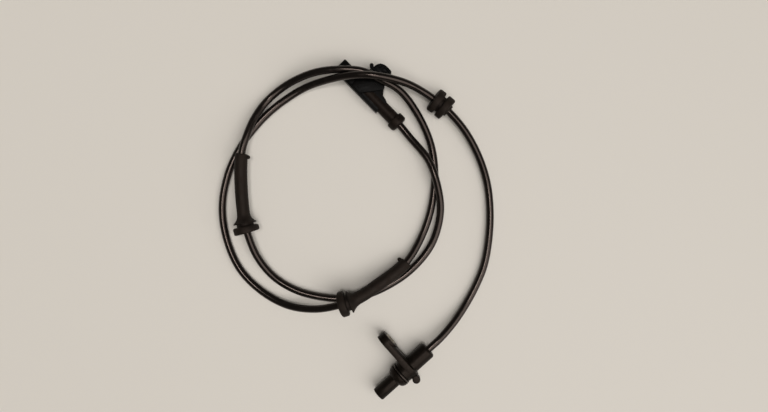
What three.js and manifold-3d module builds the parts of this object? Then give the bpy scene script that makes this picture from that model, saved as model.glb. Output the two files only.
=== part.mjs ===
// Wheel speed sensor on its own lead, lying in a loose loop on a flat surface.
// Millimetres, +Z up, the surface at z = 0. +X runs along the sensor's axis and out of its tip.
// The origin is under the middle of the sensor head.

import * as THREE from 'three';
import { mergeVertices } from 'three/addons/utils/BufferGeometryUtils.js';
import Module from 'manifold-3d';

const wasm = await Module();
wasm.setup();

// Driving dimensions

const GAP = 0.3; // between neighbouring pieces

const CABLE_RADIUS = 2.65;
const CABLE_BORE_RADIUS = CABLE_RADIUS + 0.35;
const RUBBER_BORE_RADIUS = CABLE_RADIUS + 0.8; // in the pieces that bend with the cable
const CABLE_STEPS = 80;
const CORE_RADIUS = 0.75;

// Sensor head: distances from the tip face along its axis
const HEAD_LENGTH = 48;
const HEAD_EDGE = 0.5; // chamfer of its moulded edges
const HEAD_AXIS_Y = 9;
const HEAD_AXIS_Z = 8.1; // the ear plate stands on its edge
const BARREL_RADIUS = 4.9;
const BARREL_END = 16;
const COLLAR_RADIUS = 8.1;
const COLLAR_END = 20.9;
const CAP_BORE_RADIUS = 3.6;
const CAP_WALL = 1.2;
const SPIGOT_START = 14;
const SPIGOT_RADIUS = CAP_BORE_RADIUS - GAP;
const NECK_RADIUS = 5.9;
const RING_SECTION_RADIUS = 0.9;
const BOSS_START = 23.3;
const BOSS_RADIUS = 7.6;
const PLATE_START = 26.9;
const PLATE_RIM = 30.9; // where its rim starts to slope in toward the cable's side
const PLATE_END = 32.1;
const PLATE_RIM_INSET = 2.7;
const PLATE_ROOT_RADIUS = HEAD_AXIS_Z;
const EYE_OFFSET = 23.3; // bolt axis from sensor axis
const EYE_RADIUS = 7.3;
const EYE_HOLE_RADIUS = 4.5;
const EYE_BOSS_RADIUS = 7.1;
const EYE_BOSS_HEIGHT = 0.8;
const BUSHING_RADIUS = EYE_HOLE_RADIUS - GAP;
const BOLT_HOLE_RADIUS = 3.2; // clearance for an M6 bolt
const REAR_RADIUS = 6.1;
const REAR_ROUNDING = 1.8;
const WIRE_BORE_RADIUS = 2.4;
const CABLE_IN_HEAD = 12.5; // length of jacket inside the rear body
const LUG_AT = 27.4;
const LUG_OFFSET = 9.8;
const LUG_RADIUS = 2.8;
const LUG_HEIGHT = 6.4;
const LUG_STEM_HALF = 1.7;

// What sits inside the cap
const CARRIER_WIDTH = 4.8;
const CARRIER_TAIL_WIDTH = 3.8;
const CARRIER_THICKNESS = 1.1;
const CARRIER_END = 20;
const CHIP_SIZE = [3.7, 3.4, 1.1];
const MAGNET_SIZE = [4, 3.4, 1.6];
const TERMINAL_WIDTH = 0.7;
const TERMINAL_THICKNESS = 0.3;
const TERMINAL_SPAN = [6, 23.7];
const HEAD_CORE_SPACING = 2;

// Rubber pieces on the cable: distances along the cable from its end in the head
const GROMMET_AT = 210.8;
const GROMMET_RADIUS = 8.7;
const GROMMET_DISC = 5.5;
const GROMMET_GROOVE = 2;
const GROMMET_GROOVE_RADIUS = 6;
const GROMMET_HUB_RADIUS = 4.4;
const GROMMET_HUB = 1.3;

const SLEEVE_LENGTH = 56;
const SLEEVE_DISC = 4.6;
const SLEEVE_DISC_RADIUS = 9.1;
const SLEEVE_GROOVE_END = 6.6;
const SLEEVE_GROOVE_RADIUS = 6;
const SLEEVE_FLARE_RADIUS = 8.2;
const SLEEVE_FLARE_POWER = 3.3; // how fast the flare falls to the tube
const SLEEVE_TAPER_END = 15.5;
const SLEEVE_TUBE_RADIUS = 4.55;
const SLEEVE_RING_STEP = 5; // between the rings of faces that let it bend
const SLEEVE_NUB_RADIUS = 1.5;
const SLEEVE_NUB_INSET = 2;
const SLEEVE_LOWER_DISC_AT = 556.2;
const SLEEVE_LEFT_DISC_AT = 949.6;

// Plug: distances from the cable's entry toward the mouth, and sideways
const PLUG_PLACE = [-115, -122.5, 6.4];
const PLUG_ANGLE = -87.6; // degrees, the way the mouth points
const PLUG_COLLAR_RADIUS = 6.4;
const PLUG_COLLAR_LENGTH = 6.2;
const PLUG_NECK_RADIUS = 4.7;
const PLUG_WIRE_BORE_RADIUS = 3.1;
const HOUSING_START = 18.2;
const HOUSING_END = 60;
const BLOCK_END = 44;
const BLOCK_HALF = 5.4; // half the thickness of the wide block
const NOSE_HALF = 4.8;
const SIDE_PLATE_HALF = 4;
const NOSE_SIDE = 4.7;
const SIDE_PLATE_SIDE = 6.1;
const SIDE_PLATE_THICKNESS = 1.2;
const WIDE_SIDE = 12.6;
const SHOULDER_SIDE = 5.2;
const SHOULDER_HALF = 3.9;
const SHOULDER_START = 23.1;
const SLANT_START = [25.4, -8.6]; // the wide block's slanted edge, over the neck's end
const SLANT_END = 35.6;
const SHOULDER_END = 28;
const CONTACT_CENTRE = 0.5;
const CONTACT_SPACING = 2.8;
const MOUTH_HALF = 4.2; // sideways
const MOUTH_HALF_HEIGHT = 3.7;
const MOUTH_START = 40;
const INNER_BLOCK_END = 52.5;
const INNER_BLOCK_HALF = [2.9, 2.0];
const CONTACT_CHANNEL = 2;
const CONTACT_SIZE = 1.4;
const CONTACT_SPAN = [33.3, 52.2];
const CONTACT_SOCKET = 0.8;
const CONTACT_SOCKET_DEPTH = 8;
const WIRE_SEAL_SPAN = [18.6, 24.7];
const WIRE_SEAL_HALF = [4.1, 3.1];
const WIRE_SEAL_RIB = 0.5; // how far a rib stands out
const WIRE_SEAL_RIB_STEP = 2;
const FRONT_SEAL_LENGTH = 3.1;
const RETAINER_THICKNESS = 1.2;
const RETAINER_HOLE_RADIUS = 0.6;
const CABLE_IN_PLUG = 9;
const LATCH_HALF = 4.2; // half its thickness
const LATCH_ROOT = 31.5;
const LATCH_END = 44.4;
const LATCH_ARM_SIDE = 13.4;
const LATCH_ARM_THICKNESS = 2;
const LATCH_KNOB_RADIUS = 1.4;
const THUMB_PAD_START = 30;
const THUMB_PAD_SIDE = 22.2;
const THUMB_PAD_ROUNDING = 6.4;

// The cable's middle line, from inside the head to inside the plug
const ROUTE = [
  [-11.5, 9, 8.1], [-23.5, 9, 8.1], [-35, 9, 7.6], [-50, 7.5, 5.2],
  [-65, 4, 3.2], [-78, -0.5, 2.7], [-92.5, -7.5, 2.7], [-107, -18.5, 2.7],
  [-122, -33.5, 2.7], [-134, -50, 2.9], [-142, -68, 4.4], [-146.5, -88, 7.2],
  [-147, -105, 8.6], [-146, -114, 8.8], [-143, -127, 10.6], [-136.5, -141, 17.4],
  [-124.5, -157.5, 20.9], [-114, -168, 19.6], [-101.5, -177.5, 13.7], [-83, -187.5, 5.2],
  [-63, -191.5, 2.8], [-48.5, -192, 2.7], [-34, -190.5, 2.7], [-20.5, -187.5, 2.7],
  [-1.5, -179.5, 2.7], [17.5, -165, 2.7], [30.5, -146.5, 2.7], [38.5, -123, 2.7],
  [37.5, -100.5, 2.8], [30, -80.5, 4.6], [16, -65.5, 10.2], [-0.5, -56, 14.6],
  [-11, -52, 14.1], [-27.5, -49, 10.9], [-52, -47, 6.4], [-71, -52, 3.4],
  [-91.5, -63, 2.7], [-111.5, -81, 2.7], [-123.5, -99.5, 3.4], [-130, -122.5, 8],
  [-130.5, -140.5, 13.2], [-125.5, -155, 15.2], [-120, -167.5, 15.1], [-109.5, -178.5, 15],
  [-95.5, -189, 13], [-77, -197, 6.6], [-57.5, -199, 4.2], [-42.5, -195.5, 7],
  [-30, -189.5, 9.3], [-19, -182.5, 9.9], [-3, -165.5, 9.6], [11.5, -146, 9.3],
  [17, -136, 9.1], [23, -120, 5.9], [24, -101.5, 3.1], [17.5, -82, 2.7],
  [1.5, -61, 2.7], [-13, -50, 2.7], [-32.5, -43, 2.7], [-53, -40.5, 2.7],
  [-76, -44.5, 3], [-96, -58, 5.2], [-108, -76.5, 8.4], [-113.5, -91, 8.1],
  [-114.5, -111.5, 6.6], [-115, -122.5, 6.4], [-114.5, -131.5, 6.4],
];

// Materials

const plastic = (color, roughness) => new THREE.MeshStandardMaterial({ color, roughness, metalness: 0 });
const metal = (color, roughness) => new THREE.MeshStandardMaterial({ color, roughness, metalness: 1 });

const FINISH = {
  headPlastic: () => plastic(0x14110e, 0.5),
  jacket: () => plastic(0x100e0c, 0.3),
  rubber: () => plastic(0x1a1613, 0.85),
  ringRubber: () => plastic(0x12100f, 0.6),
  plugPlastic: () => plastic(0x0b0a0a, 0.45),
  plugBoot: () => plastic(0x18130f, 0.55),
  sealRubber: () => plastic(0x8a4b2c, 0.7),
  lockPlastic: () => plastic(0x2d5c45, 0.5),
  carrierPlastic: () => plastic(0x3c3a36, 0.5),
  chipEpoxy: () => plastic(0x101010, 0.6),
  steel: () => metal(0xa8a49c, 0.35),
  magnetMetal: () => metal(0x6d6d70, 0.45),
  tinnedCopper: () => metal(0xb9b4a8, 0.3),
  coreBrown: () => plastic(0x5a3a22, 0.5),
  coreWhite: () => plastic(0xcfcabd, 0.5),
};

// Geometry helpers

// Merges shared corners, drops faces of no area and turns the faces outward.
function closed(source) {
  const bare = source.index ? source.toNonIndexed() : source.clone();
  for (const name of Object.keys(bare.attributes)) {
    if (name !== 'position') bare.deleteAttribute(name);
  }
  bare.clearGroups();
  const merged = mergeVertices(bare, 1e-4);
  const position = merged.attributes.position;
  const index = merged.index.array;
  const kept = [];
  let volume = 0;
  const [a, b, c] = [new THREE.Vector3(), new THREE.Vector3(), new THREE.Vector3()];
  for (let i = 0; i < index.length; i += 3) {
    const [p, q, r] = [index[i], index[i + 1], index[i + 2]];
    if (p === q || q === r || r === p) continue;
    kept.push(p, q, r);
    a.fromBufferAttribute(position, p);
    b.fromBufferAttribute(position, q);
    c.fromBufferAttribute(position, r);
    volume += a.dot(b.cross(c));
  }
  if (volume < 0) kept.reverse();
  merged.setIndex(kept);
  return merged;
}

function solid(source) {
  const geometry = closed(source);
  return new wasm.Manifold(new wasm.Mesh({
    numProp: 3,
    vertProperties: new Float32Array(geometry.attributes.position.array),
    triVerts: new Uint32Array(geometry.index.array),
  }));
}

function surface(manifold) {
  const mesh = manifold.getMesh();
  const geometry = new THREE.BufferGeometry();
  geometry.setAttribute('position', new THREE.BufferAttribute(mesh.vertProperties, 3));
  geometry.setIndex(new THREE.BufferAttribute(mesh.triVerts, 1));
  return geometry;
}

function joined(...sources) {
  return sources.map(solid).reduce((whole, next) => whole.add(next));
}

function cut(whole, ...sources) {
  return sources.map(solid).reduce((left, next) => left.subtract(next), whole);
}

// Points of an arc in an outline, angles in degrees.
function arc(x, y, radius, from, to, steps) {
  return Array.from({ length: steps + 1 }, (_, i) => {
    const angle = THREE.MathUtils.degToRad(from + ((to - from) * i) / steps);
    return [x + radius * Math.cos(angle), y + radius * Math.sin(angle)];
  });
}

// A body of revolution about X from [x, radius] points.
function turned(outline, segments = 32) {
  const points = outline.map(([x, radius]) => new THREE.Vector2(radius, x));
  if (outline[0][1] > 0 || outline[outline.length - 1][1] > 0) points.push(points[0].clone());
  return new THREE.LatheGeometry(points, segments).rotateZ(-Math.PI / 2);
}

function rod(from, to, radius, segments = 24) {
  const length = to - from;
  return new THREE.CylinderGeometry(radius, radius, length, segments)
    .rotateZ(-Math.PI / 2)
    .translate(from + length / 2, 0, 0);
}

function block(x, y, z) {
  return new THREE.BoxGeometry(x[1] - x[0], y[1] - y[0], z[1] - z[0])
    .translate((x[0] + x[1]) / 2, (y[0] + y[1]) / 2, (z[0] + z[1]) / 2);
}

function centred(half) {
  return [-half, half];
}

// A flat outline in X and Y, raised to half above and below z = 0, with chamfered edges.
function slab(outline, half, chamfer = 0.4) {
  const shape = new THREE.Shape(outline.map(([x, y]) => new THREE.Vector2(x, y)));
  return new THREE.ExtrudeGeometry(shape, {
    depth: 2 * (half - chamfer),
    bevelEnabled: chamfer > 0,
    bevelThickness: chamfer,
    bevelSize: chamfer,
    bevelOffset: -chamfer,
    bevelSegments: 1,
  }).translate(0, 0, -(half - chamfer));
}

const sensor = new THREE.Group();

function piece(parent, name, geometry, material) {
  const mesh = new THREE.Mesh(closed(geometry), material);
  mesh.name = name;
  parent.add(mesh);
}

// Sensor head. In its group the tip face is at x = 0 and the head runs to x = -HEAD_LENGTH.

const head = new THREE.Group();
head.position.set(HEAD_LENGTH / 2, HEAD_AXIS_Y, HEAD_AXIS_Z);
sensor.add(head);

const back = ([from, to]) => [-to, -from];

function sensorCap() {
  // The collar flares out as a quarter of an ellipse.
  const flare = arc(0, 0, 1, 0, 90, 6).map(([along, out]) => [
    -COLLAR_END + along * (COLLAR_END - BARREL_END),
    BARREL_RADIUS + out * (COLLAR_RADIUS - BARREL_RADIUS),
  ]);
  return turned([
    [0, 0], [0, BARREL_RADIUS - HEAD_EDGE], [-HEAD_EDGE, BARREL_RADIUS],
    ...flare,
    [-COLLAR_END, CAP_BORE_RADIUS], [-CAP_WALL, CAP_BORE_RADIUS], [-CAP_WALL, 0],
  ]);
}

// The ear plate's outline seen along the sensor's axis: sideways, then up.
function earOutline(inset) {
  return [
    ...arc(0, 0, PLATE_ROOT_RADIUS - inset, -92, 92, 14),
    ...arc(-EYE_OFFSET, 0, EYE_RADIUS - inset, 92, 268, 14),
  ];
}

// Turns a shape drawn in X and Y and raised along Z so that it rises along X.
function alongAxis(geometry) {
  return geometry.applyMatrix4(new THREE.Matrix4().makeBasis(
    new THREE.Vector3(0, 1, 0), new THREE.Vector3(0, 0, 1), new THREE.Vector3(1, 0, 0),
  ));
}

function earPlate() {
  const layer = (from, to, inset, chamfer) => solid(
    alongAxis(slab(earOutline(inset), (to - from) / 2, chamfer)).translate(-(from + to) / 2, 0, 0),
  );
  return surface(wasm.Manifold.hull([
    layer(PLATE_START, PLATE_RIM, 0, 0.4),
    layer(PLATE_RIM, PLATE_END, PLATE_RIM_INSET, 0),
  ]));
}

function headBody() {
  const core = turned([
    [-SPIGOT_START, 0], [-SPIGOT_START, SPIGOT_RADIUS],
    [-COLLAR_END - GAP, SPIGOT_RADIUS], [-COLLAR_END - GAP, NECK_RADIUS],
    [-BOSS_START, NECK_RADIUS], [-BOSS_START, BOSS_RADIUS - HEAD_EDGE],
    [-BOSS_START - HEAD_EDGE, BOSS_RADIUS],
    [-PLATE_START - HEAD_EDGE, BOSS_RADIUS], [-PLATE_START - HEAD_EDGE, REAR_RADIUS],
    ...arc(-HEAD_LENGTH + REAR_ROUNDING, REAR_RADIUS - REAR_ROUNDING, REAR_ROUNDING, 90, 180, 5),
    [-HEAD_LENGTH, 0],
  ]);
  const eyeBoss = rod(-PLATE_END - EYE_BOSS_HEIGHT, -PLATE_RIM + 1, EYE_BOSS_RADIUS, 32)
    .translate(0, -EYE_OFFSET, 0);
  const lug = new THREE.CylinderGeometry(LUG_RADIUS, LUG_RADIUS, LUG_HEIGHT, 20)
    .rotateX(Math.PI / 2)
    .translate(-LUG_AT, LUG_OFFSET, 0);
  const lugStem = block([-LUG_AT - LUG_STEM_HALF, -LUG_AT + LUG_STEM_HALF], [NECK_RADIUS - 3, LUG_OFFSET],
    centred(LUG_HEIGHT / 2 - 0.4));
  const whole = joined(core, earPlate(), eyeBoss, lug, lugStem);
  const cableBoreStart = HEAD_LENGTH - CABLE_IN_HEAD - 0.5;
  return surface(cut(
    whole,
    rod(-cableBoreStart - 0.1, -SPIGOT_START + 1, WIRE_BORE_RADIUS),
    rod(-HEAD_LENGTH - 1, -cableBoreStart, CABLE_BORE_RADIUS),
    rod(-PLATE_END - 3, -PLATE_START + 3, EYE_HOLE_RADIUS, 32).translate(0, -EYE_OFFSET, 0),
  ));
}

function ringSeal() {
  const centre = [-COLLAR_END - GAP - RING_SECTION_RADIUS, NECK_RADIUS + GAP + RING_SECTION_RADIUS];
  return turned(arc(...centre, RING_SECTION_RADIUS, 0, 330, 11));
}

function earBushing() {
  const [front, rear] = [-PLATE_START + GAP, -PLATE_END - EYE_BOSS_HEIGHT - 0.2];
  return turned([
    [rear, BOLT_HOLE_RADIUS + 0.3], [rear, BUSHING_RADIUS - 0.2], [rear + 0.2, BUSHING_RADIUS],
    [front - 0.2, BUSHING_RADIUS], [front, BUSHING_RADIUS - 0.2], [front, BOLT_HOLE_RADIUS + 0.3],
    [front - 0.3, BOLT_HOLE_RADIUS], [rear + 0.3, BOLT_HOLE_RADIUS],
  ]).translate(0, -EYE_OFFSET, 0);
}

function icCarrier() {
  const start = CAP_WALL + GAP;
  const tailStart = SPIGOT_START - 2 * GAP;
  return surface(joined(
    block(back([start, tailStart]), centred(CARRIER_WIDTH / 2), centred(CARRIER_THICKNESS / 2)),
    block(back([tailStart - 1, CARRIER_END]), centred(CARRIER_TAIL_WIDTH / 2), centred(CARRIER_THICKNESS / 2)),
  ));
}

const INSIDE_START = CAP_WALL + 2 * GAP;
const ABOVE_CARRIER = CARRIER_THICKNESS / 2 + GAP;

function sensingChip() {
  const [length, width, height] = CHIP_SIZE;
  return block(back([INSIDE_START, INSIDE_START + length]), centred(width / 2),
    [ABOVE_CARRIER, ABOVE_CARRIER + height]);
}

function biasMagnet() {
  const [length, width, height] = MAGNET_SIZE;
  return block(back([INSIDE_START, INSIDE_START + length]), centred(width / 2),
    [-ABOVE_CARRIER - height, -ABOVE_CARRIER]);
}

piece(head, 'sensor_cap', sensorCap(), FINISH.headPlastic());
piece(head, 'head_body', headBody(), FINISH.headPlastic());
piece(head, 'o_ring', ringSeal(), FINISH.ringRubber());
piece(head, 'ear_bushing', earBushing(), FINISH.steel());
piece(head, 'ic_carrier', icCarrier(), FINISH.carrierPlastic());
piece(head, 'sensing_ic', sensingChip(), FINISH.chipEpoxy());
piece(head, 'bias_magnet', biasMagnet(), FINISH.magnetMetal());

[-1, 1].forEach((side, i) => {
  const y = (side * HEAD_CORE_SPACING) / 2;
  const terminal = block(back(TERMINAL_SPAN), [y - TERMINAL_WIDTH / 2, y + TERMINAL_WIDTH / 2],
    [ABOVE_CARRIER, ABOVE_CARRIER + TERMINAL_THICKNESS]);
  piece(head, `head_terminal_${i + 1}`, terminal, FINISH.tinnedCopper());
  const core = rod(-HEAD_LENGTH + CABLE_IN_HEAD + GAP, -TERMINAL_SPAN[1] - GAP, CORE_RADIUS, 12)
    .translate(0, y, 0);
  piece(head, `head_core_${i + 1}`, core, i ? FINISH.coreWhite() : FINISH.coreBrown());
});

// Cable and the rubber pieces on it

const path = new THREE.CatmullRomCurve3(ROUTE.map((point) => new THREE.Vector3(...point)));
path.arcLengthDivisions = 4000;
const pathLength = path.getLength();

function cableTube() {
  const round = new THREE.Shape().absarc(0, 0, CABLE_RADIUS, 0, 2 * Math.PI);
  return new THREE.ExtrudeGeometry(round, { steps: CABLE_STEPS, curveSegments: 5, extrudePath: path });
}

// Lays a straight piece made along X onto the cable: x = 0 goes to the place at, facing 1 or -1 along it.
function onCable(geometry, at, facing = 1) {
  const position = geometry.attributes.position;
  const up = new THREE.Vector3(0, 0, 1);
  for (let i = 0; i < position.count; i += 1) {
    const u = (at + facing * position.getX(i)) / pathLength;
    const place = path.getPointAt(u);
    const along = path.getTangentAt(u).multiplyScalar(facing);
    const side = new THREE.Vector3().crossVectors(up, along).normalize();
    const above = new THREE.Vector3().crossVectors(along, side);
    place.addScaledVector(side, position.getY(i)).addScaledVector(above, position.getZ(i));
    position.setXYZ(i, place.x, place.y, place.z);
  }
  return geometry;
}

function grommet() {
  const edge = 1;
  const half = GROMMET_GROOVE / 2 + GROMMET_DISC;
  const disc = (from, to) => [
    [from, GROMMET_RADIUS - edge], [from + edge * 0.3, GROMMET_RADIUS - edge * 0.3],
    [from + edge, GROMMET_RADIUS], [to - edge, GROMMET_RADIUS],
    [to - edge * 0.3, GROMMET_RADIUS - edge * 0.3], [to, GROMMET_RADIUS - edge],
  ];
  return turned([
    [-half - GROMMET_HUB, RUBBER_BORE_RADIUS], [-half - GROMMET_HUB, GROMMET_HUB_RADIUS - 0.4],
    [-half - GROMMET_HUB + 0.4, GROMMET_HUB_RADIUS], [-half, GROMMET_HUB_RADIUS],
    ...disc(-half, -GROMMET_GROOVE / 2),
    [-GROMMET_GROOVE / 2, GROMMET_GROOVE_RADIUS], [GROMMET_GROOVE / 2, GROMMET_GROOVE_RADIUS],
    ...disc(GROMMET_GROOVE / 2, half),
    [half, RUBBER_BORE_RADIUS],
  ]);
}

// The long sleeve, straight: its disc's outer face at x = 0 and its narrow end at x = SLEEVE_LENGTH.
// nubSide is 1 or -1: the side of the narrow end that carries the nub.
function sleeve(nubSide) {
  const edge = 0.8;
  const taper = Array.from({ length: 6 }, (_, i) => {
    const t = (i + 1) / 6;
    const fall = 1 - (1 - t) ** SLEEVE_FLARE_POWER;
    return [
      SLEEVE_GROOVE_END + 0.6 + t * (SLEEVE_TAPER_END - SLEEVE_GROOVE_END - 0.6),
      SLEEVE_FLARE_RADIUS - fall * (SLEEVE_FLARE_RADIUS - SLEEVE_TUBE_RADIUS),
    ];
  });
  const tube = Array.from({ length: 7 }, (_, i) => SLEEVE_TAPER_END + (i + 1) * SLEEVE_RING_STEP);
  const outside = turned([
    [0, RUBBER_BORE_RADIUS], [0, SLEEVE_DISC_RADIUS - edge], [edge, SLEEVE_DISC_RADIUS],
    [SLEEVE_DISC - edge, SLEEVE_DISC_RADIUS], [SLEEVE_DISC, SLEEVE_DISC_RADIUS - edge],
    [SLEEVE_DISC, SLEEVE_GROOVE_RADIUS], [SLEEVE_GROOVE_END, SLEEVE_GROOVE_RADIUS],
    [SLEEVE_GROOVE_END, SLEEVE_FLARE_RADIUS - 0.4], [SLEEVE_GROOVE_END + 0.6, SLEEVE_FLARE_RADIUS],
    ...taper,
    ...tube.map((x) => [x, SLEEVE_TUBE_RADIUS]),
    [SLEEVE_LENGTH - 0.6, SLEEVE_TUBE_RADIUS], [SLEEVE_LENGTH, SLEEVE_TUBE_RADIUS - 0.5],
    [SLEEVE_LENGTH, RUBBER_BORE_RADIUS],
    ...tube.slice().reverse().map((x) => [x, RUBBER_BORE_RADIUS]),
    [SLEEVE_TAPER_END, RUBBER_BORE_RADIUS], [SLEEVE_DISC, RUBBER_BORE_RADIUS],
  ], 20);
  const nub = new THREE.SphereGeometry(SLEEVE_NUB_RADIUS, 10, 6)
    .translate(SLEEVE_LENGTH - SLEEVE_NUB_INSET, nubSide * (SLEEVE_TUBE_RADIUS + 0.3), 0);
  return surface(joined(outside, nub));
}

piece(sensor, 'cable', cableTube(), FINISH.jacket());
piece(sensor, 'grommet', onCable(closed(grommet()), GROMMET_AT), FINISH.rubber());
piece(sensor, 'sleeve_left', onCable(sleeve(-1), SLEEVE_LEFT_DISC_AT, -1), FINISH.rubber());
piece(sensor, 'sleeve_lower', onCable(sleeve(1), SLEEVE_LOWER_DISC_AT), FINISH.rubber());

// Plug. In its group the cable enters at x = 0 and the mouth faces +x. The latch is on the -y side.

const plug = new THREE.Group();
plug.position.set(...PLUG_PLACE);
plug.rotation.z = THREE.MathUtils.degToRad(PLUG_ANGLE);
sensor.add(plug);

function connectorBackshell() {
  const end = HOUSING_START - GAP;
  const whole = solid(turned([
    [0, 0], [0, PLUG_COLLAR_RADIUS - 1.2],
    ...arc(1.2, PLUG_COLLAR_RADIUS - 1.2, 1.2, 180, 90, 3),
    ...arc(PLUG_COLLAR_LENGTH - 0.8, PLUG_COLLAR_RADIUS - 0.8, 0.8, 90, 0, 3),
    [PLUG_COLLAR_LENGTH, PLUG_NECK_RADIUS], [end, PLUG_NECK_RADIUS], [end, 0],
  ]));
  return surface(cut(
    whole,
    rod(-1, CABLE_IN_PLUG + 0.5, CABLE_BORE_RADIUS),
    rod(CABLE_IN_PLUG, end + 1, PLUG_WIRE_BORE_RADIUS),
  ));
}

// The latch: an arm along the wide block's side, its round thumb pad and the knob at its free end.
function latch() {
  const arm = slab([
    [LATCH_ROOT - 3, -WIDE_SIDE + 0.6], [LATCH_ROOT, -WIDE_SIDE + 0.6], [LATCH_ROOT + 1, -LATCH_ARM_SIDE],
    [LATCH_END, -LATCH_ARM_SIDE], [LATCH_END, -LATCH_ARM_SIDE - LATCH_ARM_THICKNESS],
    [LATCH_ROOT - 1.5, -LATCH_ARM_SIDE - LATCH_ARM_THICKNESS],
  ].reverse(), LATCH_HALF, 0.3);
  const pad = slab([
    [THUMB_PAD_START, -LATCH_ARM_SIDE - 1.2], [THUMB_PAD_START + 0.4, -THUMB_PAD_SIDE + 1.2],
    [THUMB_PAD_START + 1.9, -THUMB_PAD_SIDE], [THUMB_PAD_START + 5.6, -THUMB_PAD_SIDE],
    ...arc(THUMB_PAD_START + 5.6, -THUMB_PAD_SIDE + THUMB_PAD_ROUNDING, THUMB_PAD_ROUNDING, -75, -10, 5),
    [THUMB_PAD_START + 12, -LATCH_ARM_SIDE - 1.2],
  ], LATCH_HALF, 0.8);
  const knob = new THREE.CylinderGeometry(LATCH_KNOB_RADIUS, LATCH_KNOB_RADIUS, 2 * LATCH_HALF, 16)
    .rotateX(Math.PI / 2)
    .translate(LATCH_END, -LATCH_ARM_SIDE - LATCH_ARM_THICKNESS, 0);
  return [arm, pad, knob];
}

// The two places of a contact, sideways.
const contactSides = [-1, 1].map((side) => CONTACT_CENTRE + (side * CONTACT_SPACING) / 2);

// A span across the mouth, half to each side of the contacts' middle.
function acrossMouth(half) {
  return [CONTACT_CENTRE - half, CONTACT_CENTRE + half];
}

function connectorHousing() {
  const plateInside = SIDE_PLATE_SIDE - SIDE_PLATE_THICKNESS;
  const wideBlock = slab([
    SLANT_START, [SHOULDER_END, -WIDE_SIDE], [BLOCK_END - 2, -WIDE_SIDE], [BLOCK_END, -WIDE_SIDE + 2.6],
    [BLOCK_END, plateInside + 0.2], [SLANT_END, plateInside + 0.2],
  ], BLOCK_HALF, 0.5);
  const shoulder = slab([
    [HOUSING_START, -SHOULDER_SIDE], [SHOULDER_START, -SHOULDER_SIDE - 0.7], SLANT_START,
    [SLANT_START[0] + 4, SLANT_START[1]], [SLANT_END + 2, plateInside + 0.2],
    [HOUSING_START, plateInside + 0.2],
  ], SHOULDER_HALF, 0.4);
  const neck = rod(HOUSING_START, SLANT_END, PLUG_NECK_RADIUS);
  const nose = block([BLOCK_END - 2, HOUSING_END], [-NOSE_SIDE, plateInside + 0.2], centred(NOSE_HALF));
  const sidePlate = block([HOUSING_START, HOUSING_END], [plateInside, SIDE_PLATE_SIDE],
    centred(SIDE_PLATE_HALF));
  const mouth = block([MOUTH_START, HOUSING_END + 1], acrossMouth(MOUTH_HALF), centred(MOUTH_HALF_HEIGHT));
  const [innerHalf, innerHalfHeight] = INNER_BLOCK_HALF;
  const innerBlock = block([MOUTH_START - 1, INNER_BLOCK_END], acrossMouth(innerHalf),
    centred(innerHalfHeight));
  const [sealHalf, sealHalfHeight] = WIRE_SEAL_HALF.map((half) => half + GAP);
  const sealSocket = block([HOUSING_START - 1, WIRE_SEAL_SPAN[1] + GAP], acrossMouth(sealHalf),
    centred(sealHalfHeight));
  const channelHalf = CONTACT_CHANNEL / 2;
  const channels = contactSides.map((y) => block([WIRE_SEAL_SPAN[1], INNER_BLOCK_END + 1],
    [y - channelHalf, y + channelHalf], centred(channelHalf)));
  const shell = cut(joined(wideBlock, shoulder, neck, nose, sidePlate, ...latch()), mouth);
  return surface(cut(shell.add(solid(innerBlock)), sealSocket, ...channels));
}

function terminalRetainer() {
  const start = INNER_BLOCK_END + GAP;
  const end = start + RETAINER_THICKNESS;
  const [half, halfHeight] = INNER_BLOCK_HALF;
  const holes = contactSides.map((y) => rod(start - 1, end + 1, RETAINER_HOLE_RADIUS, 12).translate(0, y, 0));
  return surface(cut(solid(block([start, end], acrossMouth(half), centred(halfHeight))), ...holes));
}

function frontSeal() {
  const start = MOUTH_START + GAP;
  const end = start + FRONT_SEAL_LENGTH;
  const ring = block([start, end], acrossMouth(MOUTH_HALF - GAP), centred(MOUTH_HALF_HEIGHT - GAP));
  const [half, halfHeight] = INNER_BLOCK_HALF.map((size) => size + GAP);
  const hole = block([start - 1, end + 1], acrossMouth(half), centred(halfHeight));
  return surface(cut(solid(ring), hole));
}

function wireSeal() {
  const [start, end] = WIRE_SEAL_SPAN;
  const [half, halfHeight] = WIRE_SEAL_HALF;
  const core = block([start, end], acrossMouth(half - WIRE_SEAL_RIB), centred(halfHeight - WIRE_SEAL_RIB));
  const ribs = [0, 1, 2].map((i) => {
    const ribStart = start + 0.3 + i * WIRE_SEAL_RIB_STEP;
    return block([ribStart, ribStart + 1.2], acrossMouth(half), centred(halfHeight));
  });
  const holes = contactSides.map((y) => rod(start - 1, end + 1, CORE_RADIUS + GAP, 12).translate(0, y, 0));
  return surface(cut(joined(core, ...ribs), ...holes));
}

piece(plug, 'connector_backshell', connectorBackshell(), FINISH.plugBoot());
piece(plug, 'connector_housing', connectorHousing(), FINISH.plugPlastic());
piece(plug, 'terminal_retainer', terminalRetainer(), FINISH.lockPlastic());
piece(plug, 'front_seal', frontSeal(), FINISH.sealRubber());
piece(plug, 'wire_seal', wireSeal(), FINISH.sealRubber());

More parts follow.
